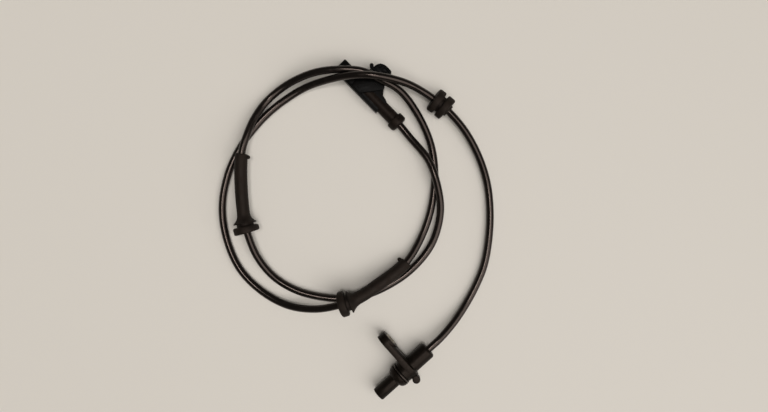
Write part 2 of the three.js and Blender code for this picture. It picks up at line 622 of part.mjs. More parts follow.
contactSides.forEach((y, i) => {
  const half = CONTACT_SIZE / 2;
  const socketHalf = CONTACT_SOCKET / 2;
  const [start, end] = CONTACT_SPAN;
  const body = block([start, end], [y - half, y + half], centred(half));
  const socket = block([end - CONTACT_SOCKET_DEPTH, end + 1], [y - socketHalf, y + socketHalf],
    centred(socketHalf));
  piece(plug, `contact_${i + 1}`, surface(cut(solid(body), socket)), FINISH.tinnedCopper());
  const core = rod(CABLE_IN_PLUG + GAP, start - GAP, CORE_RADIUS, 12).translate(0, y, 0);
  piece(plug, `plug_core_${i + 1}`, core, i ? FINISH.coreWhite() : FINISH.coreBrown());
});

export default sensor;
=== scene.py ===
import math

import bpy
import numpy as np
from mathutils import Matrix, Vector


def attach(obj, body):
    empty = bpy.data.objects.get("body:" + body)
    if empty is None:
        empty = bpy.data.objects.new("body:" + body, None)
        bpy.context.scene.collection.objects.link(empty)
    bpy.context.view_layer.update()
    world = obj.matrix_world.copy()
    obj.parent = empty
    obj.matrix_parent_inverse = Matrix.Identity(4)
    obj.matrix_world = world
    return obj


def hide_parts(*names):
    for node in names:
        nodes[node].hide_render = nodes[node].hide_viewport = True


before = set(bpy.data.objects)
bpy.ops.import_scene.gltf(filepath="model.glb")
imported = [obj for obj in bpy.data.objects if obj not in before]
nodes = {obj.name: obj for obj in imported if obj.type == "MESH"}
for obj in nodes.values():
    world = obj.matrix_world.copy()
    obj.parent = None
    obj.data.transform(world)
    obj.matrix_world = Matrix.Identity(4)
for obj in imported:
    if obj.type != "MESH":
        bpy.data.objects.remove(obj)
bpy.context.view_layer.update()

# Camera. The photograph looks straight down on the loop from about half a metre,
# turned so that the loop lies left of the sensor's tail.
bpy.ops.object.camera_add(location=(-0.06829, -0.08736, 0.480), rotation=(0, 0, math.radians(138)))
camera = bpy.context.object
camera.data.sensor_width = 36
camera.data.lens = 31.25
camera.data.clip_start = 0.01
bpy.context.scene.camera = camera
bpy.context.scene.view_settings.view_transform = "Standard"


# Cable: a two-core lead in a black polyurethane jacket, 5.3 mm across, extruded and shiny.
# It leaves the sensor head, lies in two loose loops that pass over the plug, and ends in the plug.
CABLE_ROUTE = [
    (-0.0115, 0.009, 0.0081), (-0.0235, 0.009, 0.0081), (-0.035, 0.009, 0.0076), (-0.05, 0.0075, 0.0052),
    (-0.065, 0.004, 0.0032), (-0.078, -0.0005, 0.0027), (-0.0925, -0.0075, 0.0027), (-0.107, -0.0185, 0.0027),
    (-0.122, -0.0335, 0.0027), (-0.134, -0.05, 0.0029), (-0.142, -0.068, 0.0044), (-0.1465, -0.088, 0.0072),
    (-0.147, -0.105, 0.0086), (-0.146, -0.114, 0.0088), (-0.143, -0.127, 0.0106), (-0.1365, -0.141, 0.0174),
    (-0.1245, -0.1575, 0.0209), (-0.114, -0.168, 0.0196), (-0.1015, -0.1775, 0.0137), (-0.083, -0.1875, 0.0052),
    (-0.063, -0.1915, 0.0028), (-0.0485, -0.192, 0.0027), (-0.034, -0.1905, 0.0027), (-0.0205, -0.1875, 0.0027),
    (-0.0015, -0.1795, 0.0027), (0.0175, -0.165, 0.0027), (0.0305, -0.1465, 0.0027), (0.0385, -0.123, 0.0027),
    (0.0375, -0.1005, 0.0028), (0.03, -0.0805, 0.0046), (0.016, -0.0655, 0.0102), (-0.0005, -0.056, 0.0146),
    (-0.011, -0.052, 0.0141), (-0.0275, -0.049, 0.0109), (-0.052, -0.047, 0.0064), (-0.071, -0.052, 0.0034),
    (-0.0915, -0.063, 0.0027), (-0.1115, -0.081, 0.0027), (-0.1235, -0.0995, 0.0034), (-0.13, -0.1225, 0.008),
    (-0.1305, -0.1405, 0.0132), (-0.1255, -0.155, 0.0152), (-0.12, -0.1675, 0.0151), (-0.1095, -0.1785, 0.015),
    (-0.0955, -0.189, 0.013), (-0.077, -0.197, 0.0066), (-0.0575, -0.199, 0.0042), (-0.0425, -0.1955, 0.007),
    (-0.03, -0.1895, 0.0093), (-0.019, -0.1825, 0.0099), (-0.003, -0.1655, 0.0096), (0.0115, -0.146, 0.0093),
    (0.017, -0.136, 0.0091), (0.023, -0.12, 0.0059), (0.024, -0.1015, 0.0031), (0.0175, -0.082, 0.0027),
    (0.0015, -0.061, 0.0027), (-0.013, -0.05, 0.0027), (-0.0325, -0.043, 0.0027), (-0.053, -0.0405, 0.0027),
    (-0.076, -0.0445, 0.003), (-0.096, -0.058, 0.0052), (-0.108, -0.0765, 0.0084), (-0.1135, -0.091, 0.0081),
    (-0.1145, -0.1115, 0.0066), (-0.115, -0.1225, 0.0064), (-0.1145, -0.1315, 0.0064),
]
CABLE_RADIUS = 0.00265
RING_POINTS = 20
RING_STEP = 0.0018  # between the tube's rings of points


def smooth_line(points, per_span=40):
    """The centripetal Catmull-Rom curve through the points, as many short steps."""
    knots = np.array(points)
    knots = np.vstack([2 * knots[0] - knots[1], knots, 2 * knots[-1] - knots[-2]])
    t = np.linspace(0, 1, per_span, endpoint=False)[:, None]
    line = []
    for a, b, c, d in zip(knots, knots[1:], knots[2:], knots[3:]):
        ab, bc, cd = (math.sqrt(np.linalg.norm(q - p)) for p, q in ((a, b), (b, c), (c, d)))
        leave = bc * ((b - a) / ab - (c - a) / (ab + bc) + (c - b) / bc)
        arrive = bc * ((c - b) / bc - (d - b) / (bc + cd) + (d - c) / cd)
        square = 3 * (c - b) - 2 * leave - arrive
        cube = 2 * (b - c) + leave + arrive
        line.append(b + leave * t + square * t**2 + cube * t**3)
    return np.vstack(line + [knots[-2:-1]])


cable_line = smooth_line(CABLE_ROUTE)
cable_reach = np.concatenate([[0], np.cumsum(np.linalg.norm(np.diff(cable_line, axis=0), axis=1))])
cable_tangents = np.gradient(cable_line, cable_reach, axis=0)


def at_reach(values, reach):
    """Values that are given for each point of the cable's line, at distances along it."""
    return np.stack([np.interp(reach, cable_reach, values[:, i]) for i in range(3)], axis=1)


def lay_on_cable(obj, at, facing=1):
    """Bends a straight piece, made along X, onto the cable; x = 0 goes to the distance at.
    The straight shape is kept as an attribute, so that a pattern follows the surface."""
    straight = np.array([v.co for v in obj.data.vertices])
    kept = obj.data.attributes.new("straight", "FLOAT_VECTOR", "POINT")
    kept.data.foreach_set("vector", straight.astype(np.float32).ravel())
    reach = at + facing * straight[:, 0]
    place = at_reach(cable_line, reach)
    along = facing * at_reach(cable_tangents, reach)
    along /= np.linalg.norm(along, axis=1)[:, None]
    side = np.cross((0, 0, 1), along)
    side /= np.linalg.norm(side, axis=1)[:, None]
    above = np.cross(along, side)
    bent = place + side * straight[:, 1:2] + above * straight[:, 2:3]
    obj.data.vertices.foreach_set("co", bent.astype(np.float32).ravel())
    obj.data.update()


def only(obj):
    """Makes obj the one selected and active object."""
    bpy.ops.object.select_all(action="DESELECT")
    obj.select_set(True)
    bpy.context.view_layer.objects.active = obj


def mesh_object(name, points, edges, faces):
    """A new object from points in metres, the one selected."""
    mesh = bpy.data.meshes.new(name)
    mesh.from_pydata(points, edges, faces)
    obj = bpy.data.objects.new(name, mesh)
    bpy.context.collection.objects.link(obj)
    only(obj)
    return obj


def linear(code):
    """An sRGB hex colour as linear RGBA."""
    parts = [int(code[i : i + 2], 16) / 255 for i in (1, 3, 5)]
    return [c / 12.92 if c <= 0.04045 else ((c + 0.055) / 1.055) ** 2.4 for c in parts] + [1]


def add(tree, kind, sockets=None, **settings):
    """Adds a node: settings are its properties; a socket gets a value or a link from an output."""
    new = tree.nodes.new(kind)
    for name, value in settings.items():
        setattr(new, name, value)
    for name, value in (sockets or {}).items():
        if isinstance(value, bpy.types.NodeSocket):
            tree.links.new(value, new.inputs[name])
        else:
            new.inputs[name].default_value = value
    return new


def new_material(name):
    """An empty material and its node tree."""
    made = bpy.data.materials.new(name)
    made.use_nodes = True
    made.node_tree.nodes.clear()
    return made, made.node_tree


def paint(obj, material):
    """Gives obj this one material."""
    obj.data.materials.clear()
    obj.data.materials.append(material)


# Extruded polyurethane: even and shiny, with faint draw lines along it and a few rubbed, duller places.
cable_jacket, tree = new_material("extruded black polyurethane")
place = add(tree, "ShaderNodeAttribute", attribute_name="straight").outputs["Vector"]
stretched = add(tree, "ShaderNodeMapping", {"Vector": place, "Scale": (6, 900, 900)}).outputs["Vector"]
draw_lines = add(tree, "ShaderNodeTexNoise", {"Vector": stretched, "Scale": 1.0, "Detail": 2}).outputs["Fac"]
waver = add(tree, "ShaderNodeTexNoise", {"Vector": place, "Scale": 60, "Detail": 2}).outputs["Fac"]
rubbed = add(tree, "ShaderNodeTexNoise", {
    "Vector": place, "Scale": 180, "Detail": 3, "Roughness": 0.55}).outputs["Fac"]
rub_amount = add(tree, "ShaderNodeMapRange", {
    "Value": rubbed, "From Min": 0.56, "From Max": 0.74, "To Min": 0, "To Max": 1}).outputs["Result"]
tint = add(tree, "ShaderNodeMix", {
    0: rub_amount, 6: linear("#0a0908"), 7: linear("#181412")}, data_type="RGBA")
gloss = add(tree, "ShaderNodeMapRange", {
    "Value": rub_amount, "To Min": 0.16, "To Max": 0.26}).outputs["Result"]
wave_bump = add(tree, "ShaderNodeBump", {"Height": waver, "Strength": 0.08, "Distance": 0.0006})
line_bump = add(tree, "ShaderNodeBump", {
    "Height": draw_lines, "Strength": 0.06, "Distance": 0.00005, "Normal": wave_bump.outputs["Normal"]})
shader = add(tree, "ShaderNodeBsdfPrincipled", {
    "Base Color": tint.outputs[2], "Roughness": gloss, "IOR": 1.5, "Specular IOR Level": 0.38,
    "Specular Tint": linear("#ffe9de"), "Normal": line_bump.outputs["Normal"]})
add(tree, "ShaderNodeOutputMaterial", {"Surface": shader.outputs["BSDF"]})

ring_count = int(cable_reach[-1] / RING_STEP)
ring_at = np.linspace(0, cable_reach[-1], ring_count)
turn = np.linspace(0, 2 * math.pi, RING_POINTS, endpoint=False)
tube = [(x, CABLE_RADIUS * math.cos(a), CABLE_RADIUS * math.sin(a)) for x in ring_at for a in turn]
rings = np.arange(ring_count * RING_POINTS).reshape(ring_count, RING_POINTS).tolist()
walls = [(ring[i - 1], ring[i], following[i], following[i - 1])
         for ring, following in zip(rings, rings[1:]) for i in range(RING_POINTS)]
cable = mesh_object("cable_jacket", tube, [], walls + [rings[0], rings[-1]])
lay_on_cable(cable, 0)
bpy.ops.object.mode_set(mode="EDIT")
bpy.ops.mesh.select_all(action="SELECT")
bpy.ops.mesh.normals_make_consistent(inside=False)
bpy.ops.object.mode_set(mode="OBJECT")
bpy.ops.object.shade_smooth()
paint(cable, cable_jacket)
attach(cable, "root")
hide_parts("cable")


# Grommet: a round two-flange grommet of black EPDM rubber, moulded in one and pushed onto the cable.
# A bracket on the car snaps into the groove between its two thick flanges.
# Pieces are sized in millimetres from here on. Places in the frame and along the cable stay in metres.
MM = 0.001
BORE = 2.75  # radius of the hole for the cable in the pieces that hold it
GROMMET_AT = 0.2108
GROMMET_OUTLINE = [
    (-7.8, BORE), (-7.8, 3.9), (-7.5, 4.4), (-6.5, 4.5), (-6.5, 7.5), (-6.1, 8.4), (-5.4, 8.7),
    (-1.9, 8.7), (-1.2, 8.4), (-1, 7.7), (-1, 6), (1, 6), (1, 7.7), (1.2, 8.4), (1.9, 8.7),
    (5.4, 8.7), (6.1, 8.4), (6.5, 7.5), (6.5, 4.3), (6.1, 3.4), (6.5, BORE),
]


def modify(obj, kind, **settings):
    """Adds a modifier to obj and applies it."""
    only(obj)
    modifier = obj.modifiers.new(kind.title(), kind)
    for name, value in settings.items():
        setattr(modifier, name, value)
    bpy.ops.object.modifier_apply(modifier=modifier.name)


def round_edges(obj, width, segments, angle=40):
    """Rounds the edges of obj where faces meet at more than the angle, in degrees."""
    modify(obj, "BEVEL", width=width * MM, segments=segments, limit_method="ANGLE",
           angle_limit=math.radians(angle))


def spun(name, outline, steps=72):
    """Spins an outline of (along X, radius) points about X into a closed body."""
    count = len(outline)
    edges = [(i, i + 1) for i in range(count - 1)]
    if outline[0][1] or outline[-1][1]:
        edges.append((count - 1, 0))
    obj = mesh_object(name, [(x * MM, 0, r * MM) for x, r in outline], edges, [])
    bpy.ops.object.mode_set(mode="EDIT")
    bpy.ops.mesh.select_all(action="SELECT")
    bpy.ops.mesh.spin(steps=steps, angle=2 * math.pi, center=(0, 0, 0), axis=(1, 0, 0))
    bpy.ops.mesh.select_all(action="SELECT")
    bpy.ops.mesh.remove_doubles(threshold=1e-6)
    bpy.ops.mesh.normals_make_consistent(inside=False)
    bpy.ops.object.mode_set(mode="OBJECT")
    return obj


def smooth(obj, angle=35):
    """Smooth shading, with creases left where faces meet at more than the angle."""
    only(obj)
    bpy.ops.object.shade_smooth_by_angle(angle=math.radians(angle))


# Moulded EPDM: matt and dusty black-brown, fine spark-eroded grain, and a flash line along both sides
# where the halves of the mould met.
moulded_rubber, tree = new_material("moulded EPDM rubber")
place = add(tree, "ShaderNodeAttribute", attribute_name="straight").outputs["Vector"]
axes = add(tree, "ShaderNodeSeparateXYZ", {"Vector": place})
dust = add(tree, "ShaderNodeTexNoise", {
    "Vector": place, "Scale": 220, "Detail": 7, "Roughness": 0.65}).outputs["Fac"]
dust_amount = add(tree, "ShaderNodeMapRange", {
    "Value": dust, "From Min": 0.42, "From Max": 0.72}).outputs["Result"]
tint = add(tree, "ShaderNodeMix", {
    0: dust_amount, 6: linear("#110e0c"), 7: linear("#1e1814")}, data_type="RGBA")
grain = add(tree, "ShaderNodeTexNoise", {"Vector": place, "Scale": 2600, "Detail": 3}).outputs["Fac"]
away = add(tree, "ShaderNodeMath", {0: axes.outputs["Z"]}, operation="ABSOLUTE").outputs[0]
flash = add(tree, "ShaderNodeMapRange", {
    "Value": away, "From Min": 0.00005, "From Max": 0.00016, "To Min": 1, "To Max": 0})
flash_bump = add(tree, "ShaderNodeBump", {
    "Height": flash.outputs["Result"], "Strength": 0.6, "Distance": 0.0001})
grain_bump = add(tree, "ShaderNodeBump", {
    "Height": grain, "Strength": 0.35, "Distance": 0.00008, "Normal": flash_bump.outputs["Normal"]})
rough = add(tree, "ShaderNodeMapRange", {
    "Value": dust_amount, "To Min": 0.55, "To Max": 0.8}).outputs["Result"]
shader = add(tree, "ShaderNodeBsdfPrincipled", {
    "Base Color": tint.outputs[2], "Roughness": rough, "IOR": 1.5, "Specular IOR Level": 0.2,
    "Specular Tint": linear("#ffeadc"), "Normal": grain_bump.outputs["Normal"]})
add(tree, "ShaderNodeOutputMaterial", {"Surface": shader.outputs["BSDF"]})

grommet = spun("bracket_grommet", GROMMET_OUTLINE)
round_edges(grommet, 0.25, 3, angle=25)
lay_on_cable(grommet, GROMMET_AT)
smooth(grommet)
paint(grommet, moulded_rubber)
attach(grommet, "root")
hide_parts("grommet")


# Sleeves: two long sleeves of the same rubber, each with a grooved flange for a bracket, a bell that
# eases the cable's bend and a plain tube. A small nub by the narrow end is the mould's feed.
SLEEVE_LENGTH = 56
SLEEVE_TUBE = 4.55
SLEEVE_RINGS_APART = 2
BELL_FROM, BELL_LENGTH = 7.2, 8.3
BELL_RIM = 8.2
BELL_POWER = 3.3  # how fast the bell falls from its rim
NUB_RADIUS = 1.5
NUB_INSET = 2
FLANGE_OUTLINE = [
    (0, BORE), (0, 3.8), (0.35, 4.4), (0, 5.1), (0, 8.2), (0.35, 8.9), (0.9, 9.1), (3.7, 9.1), (4.3, 8.8),
    (4.6, 8.1), (4.6, 6.0), (6.6, 6.0), (6.6, 7.7), (6.75, 8.1), (BELL_FROM, BELL_RIM),
]
# Each sleeve's node, its flange's distance along the cable, the way it faces and the side of its nub.
SLEEVE_PLACES = [("sleeve_left", 0.9496, -1, -1), ("sleeve_lower", 0.5562, 1, 1)]

bell = [(BELL_FROM + BELL_LENGTH * t, SLEEVE_TUBE + (BELL_RIM - SLEEVE_TUBE) * (1 - t) ** BELL_POWER)
        for t in np.linspace(0.08, 1, 12)]
tube_outside = [(x, SLEEVE_TUBE) for x in range(18, SLEEVE_LENGTH, SLEEVE_RINGS_APART)]
tube_end = [(SLEEVE_LENGTH - 0.6, SLEEVE_TUBE), (SLEEVE_LENGTH, 4.1), (SLEEVE_LENGTH, 3.2),
            (SLEEVE_LENGTH - 0.6, BORE)]
tube_inside = [(x, BORE) for x in range(SLEEVE_LENGTH - SLEEVE_RINGS_APART, 0, -SLEEVE_RINGS_APART)]
sleeve_outline = FLANGE_OUTLINE + bell + tube_outside + tube_end + tube_inside


def combine(obj, tool, operation):
    """Joins the tool to obj or cuts it out of it, then removes the tool."""
    modify(obj, "BOOLEAN", object=tool, operation=operation, solver="EXACT")
    bpy.data.objects.remove(tool)


for node_name, flange_at, facing, nub_side in SLEEVE_PLACES:
    sleeve = spun(node_name + "_rubber", sleeve_outline, steps=48)
    round_edges(sleeve, 0.22, 2, angle=30)
    bpy.ops.object.select_all(action="DESELECT")
    bpy.ops.mesh.primitive_uv_sphere_add(
        segments=20, ring_count=12, radius=NUB_RADIUS * MM,
        location=((SLEEVE_LENGTH - NUB_INSET) * MM, nub_side * (SLEEVE_TUBE + 0.3) * MM, 0))
    nub = bpy.context.object
    bpy.ops.object.transform_apply(location=True)
    combine(sleeve, nub, "UNION")
    lay_on_cable(sleeve, flange_at, facing)
    smooth(sleeve)
    paint(sleeve, moulded_rubber)
    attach(sleeve, "root")
    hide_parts(node_name)


# Sensor cap: a thin cup of black glass-filled polyamide over the sensing end. Its plain barrel goes into
# the wheel carrier, and its flared collar closes on the overmoulded body behind it.
HEAD_PLACE = Matrix.Translation((0.024, 0.009, 0.0081))
BARREL_RADIUS = 4.9
COLLAR_FROM, COLLAR_TO = 16, 20.9
COLLAR_RADIUS = 8.1


def arc(x, y, radius, start, stop, steps):
    """The points of an arc in an outline, its angles in degrees."""
    return [(x + radius * math.cos(a), y + radius * math.sin(a))
            for a in np.radians(np.linspace(start, stop, steps + 1))]


# The collar flares out as a quarter of an ellipse.
COLLAR_FLARE = [
    (-COLLAR_TO + along * (COLLAR_TO - COLLAR_FROM), BARREL_RADIUS + out * (COLLAR_RADIUS - BARREL_RADIUS))
    for along, out in arc(0, 0, 1, 0, 90, 13)
]
CAP_OUTLINE = [
    (-0.25, 0), (-0.25, 1.2), (0, 1.4), (0, 4.3), (-0.15, 4.65), (-0.55, BARREL_RADIUS), (-8, BARREL_RADIUS),
    *COLLAR_FLARE, (-COLLAR_TO, 3.6), (-1.2, 3.6), (-1.2, 0),
]

# Glass-filled polyamide: satin black with a brown cast, glass fibres faintly clouding the skin along the
# flow, and a slightly uneven gloss.
head_plastic, tree = new_material("moulded glass-filled polyamide")
place = add(tree, "ShaderNodeTexCoord").outputs["Object"]
flow = add(tree, "ShaderNodeMapping", {"Vector": place, "Scale": (1, 2.6, 2.6)}).outputs["Vector"]
cloud = add(tree, "ShaderNodeTexNoise", {
    "Vector": flow, "Scale": 330, "Detail": 6, "Roughness": 0.6}).outputs["Fac"]
fibre = add(tree, "ShaderNodeMapping", {"Vector": place, "Scale": (500, 2600, 2600)}).outputs["Vector"]
fibres = add(tree, "ShaderNodeTexNoise", {"Vector": fibre, "Scale": 1, "Detail": 3}).outputs["Fac"]
cloud_amount = add(tree, "ShaderNodeMapRange", {
    "Value": cloud, "From Min": 0.4, "From Max": 0.7}).outputs["Result"]
tint = add(tree, "ShaderNodeMix", {
    0: cloud_amount, 6: linear("#0c0a08"), 7: linear("#16110d")}, data_type="RGBA")
rough = add(tree, "ShaderNodeMapRange", {
    "Value": cloud_amount, "To Min": 0.36, "To Max": 0.5}).outputs["Result"]
skin = add(tree, "ShaderNodeBump", {"Height": fibres, "Strength": 0.25, "Distance": 0.00005})
shader = add(tree, "ShaderNodeBsdfPrincipled", {
    "Base Color": tint.outputs[2], "Roughness": rough, "IOR": 1.53, "Specular IOR Level": 0.12,
    "Specular Tint": linear("#ffe9da"), "Normal": skin.outputs["Normal"]})
add(tree, "ShaderNodeOutputMaterial", {"Surface": shader.outputs["BSDF"]})

cap = spun("sensor_cap_shell", CAP_OUTLINE, steps=96)
cap.data.transform(HEAD_PLACE)
smooth(cap)
paint(cap, head_plastic)
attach(cap, "root")
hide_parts("sensor_cap")


# Head body: the same plastic moulded over the chip carrier, the cores and the steel bushing. It has the
# groove for the sealing ring, a boss, the ear plate with its eye, the rear barrel and a round lug.
HEAD_LENGTH = 48
SPIGOT_FROM = 14
BODY_OUTLINE = [
    (-SPIGOT_FROM, 0), (-SPIGOT_FROM, 3.3), (-21.2, 3.3), (-21.2, 5.9), (-23.3, 5.9), (-23.3, 7.35),
    (-23.55, 7.6), (-31.0, 7.6), (-31.0, 6.1), (-46.2, 6.1), (-46.8, 6.0), (-47.4, 5.65), (-47.85, 5.05),
    (-HEAD_LENGTH, 4.3), (-HEAD_LENGTH, 0),
]
PLATE_FROM, PLATE_RIM, PLATE_TO = 26.9, 30.9, 32.1
PLATE_ROOT_RADIUS = 8.1
PLATE_RIM_INSET = 2.7
EYE_OFFSET = 23.3
EYE_RADIUS = 7.3
EYE_BOSS_RADIUS = 7.1
EYE_BOSS_HEIGHT = 0.8
EYE_HOLE_RADIUS = 4.5
WIRE_BORE = 2.4
CABLE_BORE_FROM = 35
LUG_AT, LUG_SIDE = 27.4, 9.8
LUG_RADIUS, LUG_HEIGHT = 2.8, 6.4
LUG_STEM = (-LUG_AT - 1.7, -LUG_AT + 1.7), (2.9, LUG_SIDE), (-2.8, 2.8)


def disc(x_from, x_to, y, radius, vertices=96):
    """A cylinder along X."""
    bpy.ops.object.select_all(action="DESELECT")
    bpy.ops.mesh.primitive_cylinder_add(
        vertices=vertices, radius=radius * MM, depth=(x_to - x_from) * MM,
        location=((x_from + x_to) / 2 * MM, y * MM, 0), rotation=(0, math.pi / 2, 0))
    bpy.ops.object.transform_apply(location=True, rotation=True, scale=True)
    return bpy.context.object


def post(x, y, radius, height, vertices):
    """A cylinder along Z, half of it above z = 0."""
    bpy.ops.object.select_all(action="DESELECT")
    bpy.ops.mesh.primitive_cylinder_add(
        vertices=vertices, radius=radius * MM, depth=height * MM, location=(x * MM, y * MM, 0))
    bpy.ops.object.transform_apply(location=True)
    return bpy.context.object


def box(x, y, z):
    """A block between the pairs of x, y and z."""
    bpy.ops.object.select_all(action="DESELECT")
    bpy.ops.mesh.primitive_cube_add(
        size=1, location=(sum(x) / 2 * MM, sum(y) / 2 * MM, sum(z) / 2 * MM),
        scale=((x[1] - x[0]) * MM, (y[1] - y[0]) * MM, (z[1] - z[0]) * MM))
    bpy.ops.object.transform_apply(location=True, rotation=True, scale=True)
    return bpy.context.object


def hull_of(*parts):
    """Joins parts into one and wraps them in their convex hull."""
    bpy.ops.object.select_all(action="DESELECT")
    for part in parts:
        part.select_set(True)
    bpy.context.view_layer.objects.active = parts[0]
    bpy.ops.object.join()
    bpy.ops.object.mode_set(mode="EDIT")
    bpy.ops.mesh.select_all(action="SELECT")
    bpy.ops.mesh.convex_hull()
    bpy.ops.object.mode_set(mode="OBJECT")
    return bpy.context.object


body = spun("sensor_body", BODY_OUTLINE, steps=96)
# The plate keeps its full width on the wheel's side, and its rim slopes in toward the cable's side.
plate = hull_of(disc(-PLATE_RIM, -PLATE_FROM, 0, PLATE_ROOT_RADIUS),
                disc(-PLATE_RIM, -PLATE_FROM, -EYE_OFFSET, EYE_RADIUS),
                disc(-PLATE_TO, -PLATE_RIM, 0, PLATE_ROOT_RADIUS - PLATE_RIM_INSET),
                disc(-PLATE_TO, -PLATE_RIM, -EYE_OFFSET, EYE_RADIUS - PLATE_RIM_INSET))
round_edges(plate, 0.35, 3)
combine(body, plate, "UNION")
eye_boss = disc(-PLATE_TO - EYE_BOSS_HEIGHT, -PLATE_RIM + 1, -EYE_OFFSET, EYE_BOSS_RADIUS)
round_edges(eye_boss, 0.3, 2)
combine(body, eye_boss, "UNION")
combine(body, box(*LUG_STEM), "UNION")
lug = post(-LUG_AT, LUG_SIDE, LUG_RADIUS, LUG_HEIGHT, 48)
round_edges(lug, 0.35, 3)
combine(body, lug, "UNION")
combine(body, disc(-HEAD_LENGTH - 1, -CABLE_BORE_FROM, 0, BORE, 48), "DIFFERENCE")
combine(body, disc(-CABLE_BORE_FROM - 1, -SPIGOT_FROM + 1, 0, WIRE_BORE, 32), "DIFFERENCE")
combine(body, disc(-PLATE_TO - 3, -PLATE_FROM + 3, -EYE_OFFSET, EYE_HOLE_RADIUS, 72), "DIFFERENCE")
body.data.transform(HEAD_PLACE)
smooth(body)
paint(body, head_plastic)
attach(body, "root")
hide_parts("head_body")


# Sealing ring: a nitrile O-ring, 1.8 mm thick, that sits in the groove between cap and boss
# and seals the sensor in the wheel carrier's bore.
RING_X, RING_CENTRE_RADIUS = -22.1, 7.1
RING_SECTION_RADIUS = 0.9
ring_outline = arc(RING_X, RING_CENTRE_RADIUS, RING_SECTION_RADIUS, 0, 360, 20)[:-1]
sealing_ring = spun("sealing_ring", ring_outline)
sealing_ring.data.transform(HEAD_PLACE)
smooth(sealing_ring, 80)

# Nitrile: a smooth, faintly oily black.
nitrile, tree = new_material("nitrile rubber")
place = add(tree, "ShaderNodeTexCoord").outputs["Object"]
film = add(tree, "ShaderNodeTexNoise", {"Vector": place, "Scale": 400, "Detail": 5}).outputs["Fac"]
tint = add(tree, "ShaderNodeMix", {0: film, 6: linear("#0a0908"), 7: linear("#1a1816")}, data_type="RGBA")
rough = add(tree, "ShaderNodeMapRange", {"Value": film, "To Min": 0.25, "To Max": 0.45}).outputs["Result"]
skin = add(tree, "ShaderNodeBump", {"Height": film, "Strength": 0.2, "Distance": 0.0001})
shader = add(tree, "ShaderNodeBsdfPrincipled", {
    "Base Color": tint.outputs[2], "Roughness": rough, "IOR": 1.52, "Specular Tint": linear("#ffeadc"),
    "Normal": skin.outputs["Normal"]})
add(tree, "ShaderNodeOutputMaterial", {"Surface": shader.outputs["BSDF"]})
paint(sealing_ring, nitrile)
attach(sealing_ring, "root")
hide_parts("o_ring")


# Ear bushing: a turned steel tube with zinc plating, moulded into the eye. It takes the M6 bolt's clamping
# load and stands a little proud of the plastic on the cable's side.
BUSHING_OUTLINE = [
    (-27.2, 3.6), (-27.2, 4.0), (-27.4, 4.2), (-32.9, 4.2), (-33.1, 4.0), (-33.1, 3.6), (-32.7, 3.2),
    (-27.6, 3.2),
]
BUSHING_PLACE = HEAD_PLACE @ Matrix.Translation((0, -EYE_OFFSET * MM, 0))
bushing = spun("ear_bushing_steel", BUSHING_OUTLINE, steps=96)
bushing.data.transform(BUSHING_PLACE)
smooth(bushing, 25)

# Zinc-plated steel: clear passivated, yellowish grey, with fine turning rings round the bore.
zinc_plate, tree = new_material("zinc-plated turned steel")
place = add(tree, "ShaderNodeTexCoord").outputs["Object"]
centred = add(tree, "ShaderNodeMapping", {
    "Vector": place, "Location": -BUSHING_PLACE.translation}).outputs["Vector"]
axes = add(tree, "ShaderNodeSeparateXYZ", {"Vector": centred})
flat = add(tree, "ShaderNodeCombineXYZ", {"Y": axes.outputs["Y"], "Z": axes.outputs["Z"]}).outputs["Vector"]
radius = add(tree, "ShaderNodeVectorMath", {0: flat}, operation="LENGTH").outputs["Value"]
across = add(tree, "ShaderNodeCombineXYZ", {"X": radius, "Y": axes.outputs["X"]}).outputs["Vector"]
turning = add(tree, "ShaderNodeTexNoise", {"Vector": across, "Scale": 9000, "Detail": 1}).outputs["Fac"]
stain = add(tree, "ShaderNodeTexNoise", {"Vector": place, "Scale": 700, "Detail": 6}).outputs["Fac"]
stained = add(tree, "ShaderNodeMapRange", {
    "Value": stain, "From Min": 0.45, "From Max": 0.75}).outputs["Result"]
tint = add(tree, "ShaderNodeMix", {0: stained, 6: linear("#b3aea3"), 7: linear("#8a7a66")}, data_type="RGBA")
rough = add(tree, "ShaderNodeMapRange", {"Value": stained, "To Min": 0.3, "To Max": 0.55}).outputs["Result"]
rings_bump = add(tree, "ShaderNodeBump", {"Height": turning, "Strength": 0.3, "Distance": 0.00004})
shader = add(tree, "ShaderNodeBsdfPrincipled", {
    "Base Color": tint.outputs[2], "Roughness": rough, "Metallic": 1.0,
    "Normal": rings_bump.outputs["Normal"]})
add(tree, "ShaderNodeOutputMaterial", {"Surface": shader.outputs["BSDF"]})
paint(bushing, zinc_plate)
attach(bushing, "root")
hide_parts("ear_bushing")


# Plug boot: a collar and a long round neck, one softer moulding of black-brown thermoplastic, which holds
# the cable and the wire seal in the plug. The cable enters it at x = 0; the mouth lies toward +x, the latch
# toward -y.
PLUG_PLACE = Matrix.Translation((-0.115, -0.1225, 0.0064)) @ Matrix.Rotation(math.radians(-87.6), 4, "Z")
BOOT_END = 36
BOOT_NECK = 4.7
BOOT_OUTLINE = [
    (0, BORE), (0, 4.4), (0.15, 5.2), (0.6, 5.9), (1.3, 6.3), (2.0, 6.4), (5.2, 6.4), (5.8, 6.25), (6.2, 5.8),
    (6.2, BOOT_NECK + 0.05), (12, BOOT_NECK), (BOOT_END, BOOT_NECK), (BOOT_END, 3.1), (9.2, 3.1), (9.0, BORE),
]
SEAL_POCKET = (18.3, 26.3), (-3.9, 4.9), (-3.4, 3.4)
# The slanted line in plan where the neck dives into the housing.
NECK_TRIM = [(25.8, -7.5), (35.9, 5.5), (40, 8), (40, -9)]
PIN_MARK_AT = (3.9, -2.6, 6.2)
PIN_MARK_SIZE = (0.9, 2.0, 1.1)
PIN_MARK_TILT = -24


